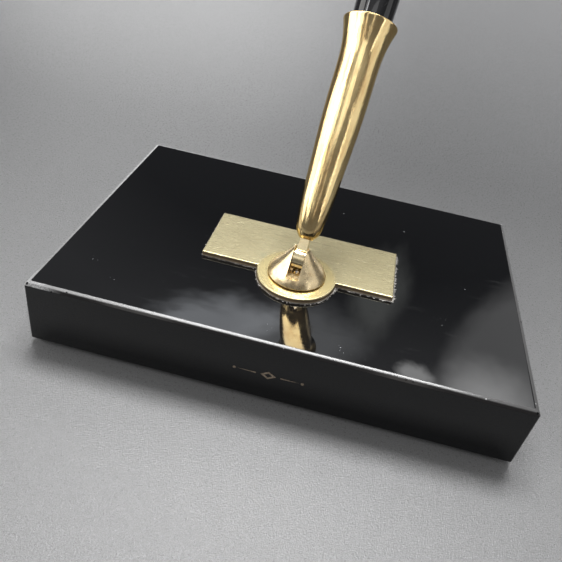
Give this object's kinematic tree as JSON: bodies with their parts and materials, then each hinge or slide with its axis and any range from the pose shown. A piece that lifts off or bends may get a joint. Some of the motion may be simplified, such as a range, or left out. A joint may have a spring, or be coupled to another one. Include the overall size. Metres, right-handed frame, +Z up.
{
  "type": "desk pen stand",
  "caption": "Desk pen stand: black glass base with a brass plate, a swivel turret and a tilting trumpet socket that holds a desk pen.",
  "frame": {"origin": "middle of the felt's underside, on the surface that the stand rests on", "axes": "+X to the right along the base's long side, +Y to the back, +Z up"},
  "size_m": [0.146, 0.1364, 0.1805],
  "materials": {
    "black_glass": "polished",
    "felt": "napped",
    "adhesive": "dried",
    "brushed_brass": "brushed",
    "polished_brass": "polished",
    "gold_plate": "polished",
    "nib_gold": "polished",
    "nut_brass": "turned",
    "steel": "bright",
    "fibre": "matt",
    "nylon": "moulded",
    "seal_rubber": "matt",
    "pen_black": "polished",
    "feed_black": "moulded",
    "cartridge_plastic": "moulded"
  },
  "bodies": {
    "base": {"base_slab": "black_glass", "base_felt": "felt", "plate_adhesive": "adhesive", "name_plate": "brushed_brass", "swivel_bush": "nylon", "thrust_washer": "fibre", "fibre_washer": "fibre"},
    "turret": {"swivel_turret": "polished_brass", "pivot_pin": "polished_brass", "friction_ball": "steel", "friction_spring": "steel", "steel_washer": "steel", "dished_washer": "steel", "clamp_nut": "nut_brass", "lock_nut": "nut_brass"},
    "socket": {"tongue": "polished_brass", "socket_shell": "gold_plate", "shell_washer": "steel", "shell_nut": "nut_brass", "socket_liner": "nylon", "liner_seal": "seal_rubber"},
    "pen": {"pen_section": "pen_black", "trim_ring": "gold_plate", "pen_barrel": "pen_black", "pen_nib": "nib_gold", "pen_feed": "feed_black", "ink_cartridge": "cartridge_plastic"}
  },
  "joints": [
    {"name": "turret_spin", "type": "hinge", "parent": "base", "child": "turret", "pos_m": [0, -0.018, 0.0247], "axis": [0, 0, 1], "continuous": true},
    {"name": "socket_tilt", "type": "hinge", "parent": "turret", "child": "socket", "pos_m": [0, -0.018, 0.0301], "axis": [-0.9954, 0.0958, 0], "range_deg": [-99.5, 30.5]},
    {"name": "pen_slide", "type": "slide", "parent": "socket", "child": "pen", "axis": [0.0543, 0.5638, 0.8241], "range_m": [0, 0.07]}
  ]
}
